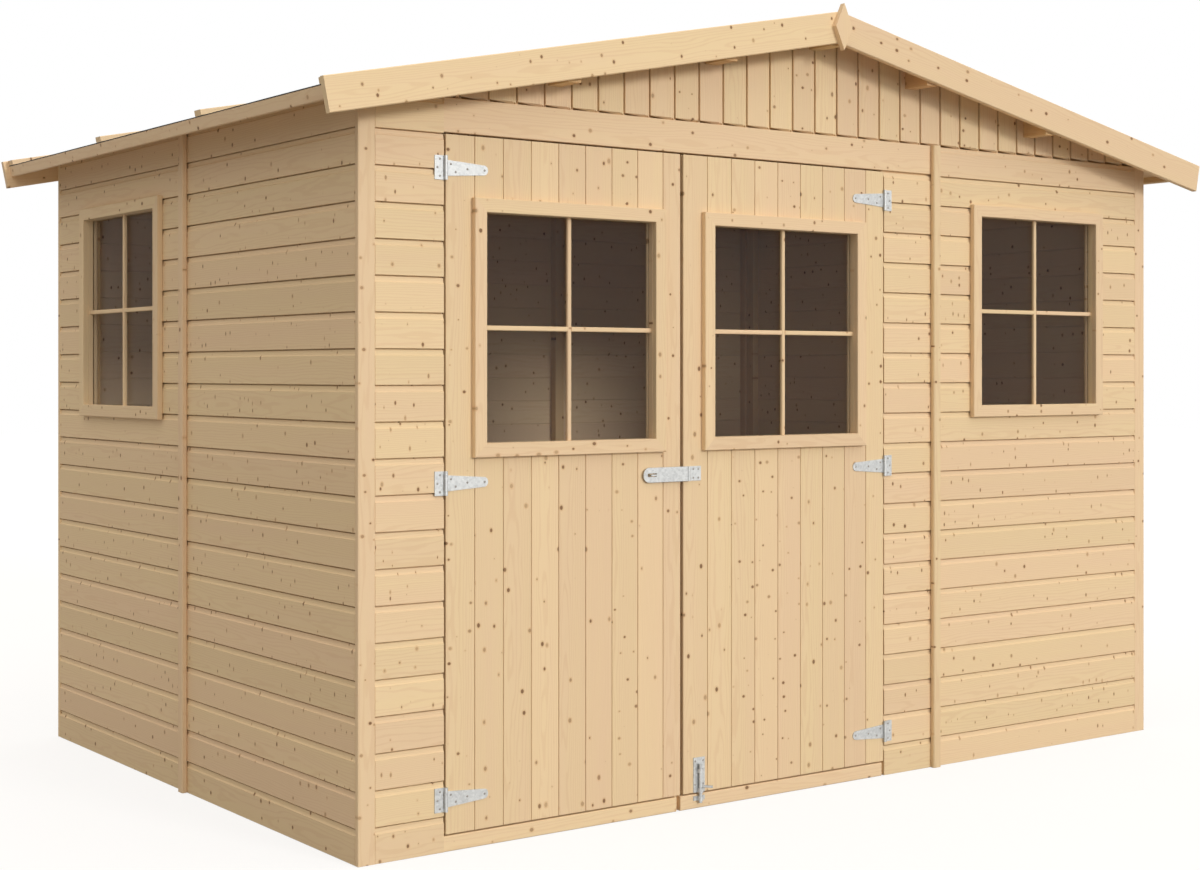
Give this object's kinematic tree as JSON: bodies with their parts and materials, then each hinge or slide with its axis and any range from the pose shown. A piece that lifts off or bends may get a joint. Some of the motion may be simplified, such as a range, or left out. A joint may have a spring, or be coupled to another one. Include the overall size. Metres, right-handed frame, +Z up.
{
  "type": "wooden garden shed",
  "caption": "Pine garden shed with a shallow gable roof, horizontal board walls, glazed double doors on tee hinges, a hasp and a barrel bolt.",
  "frame": {"origin": "on the ground under the middle of the floor", "axes": "+Z up, the doors face -Y, +X to the right of someone who faces the doors"},
  "size_m": [3.3162, 2.258, 2.2487],
  "materials": {
    "pine": "planed, untreated pine",
    "frame_timber": "sawn, untreated pine",
    "glass": "clear",
    "roof_felt": "mineral roofing felt",
    "zinc": "zinc plated"
  },
  "bodies": {
    "shed": {"floor_joists": "frame_timber", "floor_boards": "pine", "door_sills": "pine", "front_left_wall": "pine", "front_right_wall": "pine", "front_window_wall": "pine", "door_header": "pine", "front_gable": "pine", "left_wall": "pine", "right_wall": "pine", "rear_wall": "pine", "rear_gable": "pine", "corner_boards": "pine", "cover_strips": "pine", "front_frame": "frame_timber", "rear_frame": "frame_timber", "left_frame": "frame_timber", "right_frame": "frame_timber", "purlins": "frame_timber", "left_roof_deck": "pine", "right_roof_deck": "pine", "roof_felt": "roof_felt", "left_roof_battens": "pine", "right_roof_battens": "pine", "eave_strips": "pine", "front_left_bargeboard": "pine", "front_right_bargeboard": "pine", "rear_left_bargeboard": "pine", "rear_right_bargeboard": "pine", "finials": "pine", "wall_window_casings": "pine", "wall_window_glass": "glass", "hinge_plates": "zinc", "bolt_keeper": "zinc"},
    "left_leaf": {"left_door_boards": "pine", "left_door_ledges": "frame_timber", "left_door_casing": "pine", "left_door_glass": "glass", "left_hinge_straps": "zinc", "hasp_staple": "zinc"},
    "right_leaf": {"right_door_boards": "pine", "right_door_ledges": "frame_timber", "right_door_casing": "pine", "right_door_glass": "glass", "right_hinge_straps": "zinc", "hasp_plate": "zinc", "bolt_plate": "zinc"},
    "hasp": {"hasp_strap": "zinc"},
    "bolt": {"bolt_rod": "zinc"}
  },
  "joints": [
    {"name": "left_leaf_hinge", "type": "hinge", "parent": "shed", "child": "left_leaf", "pos_m": [-1.2575, -1.011, 0.923], "axis": [0, 0, -1], "range_deg": [0, 165]},
    {"name": "right_leaf_hinge", "type": "hinge", "parent": "shed", "child": "right_leaf", "pos_m": [0.2805, -1.011, 0.923], "axis": [0, 0, 1], "range_deg": [0, 165]},
    {"name": "hasp_hinge", "type": "hinge", "parent": "right_leaf", "child": "hasp", "pos_m": [-0.475, -1.0125, 0.923], "axis": [0, 0, 1], "range_deg": [0, 170]},
    {"name": "bolt_slide", "type": "slide", "parent": "right_leaf", "child": "bolt", "axis": [0, 0, 1], "range_m": [0, 0.03]}
  ]
}
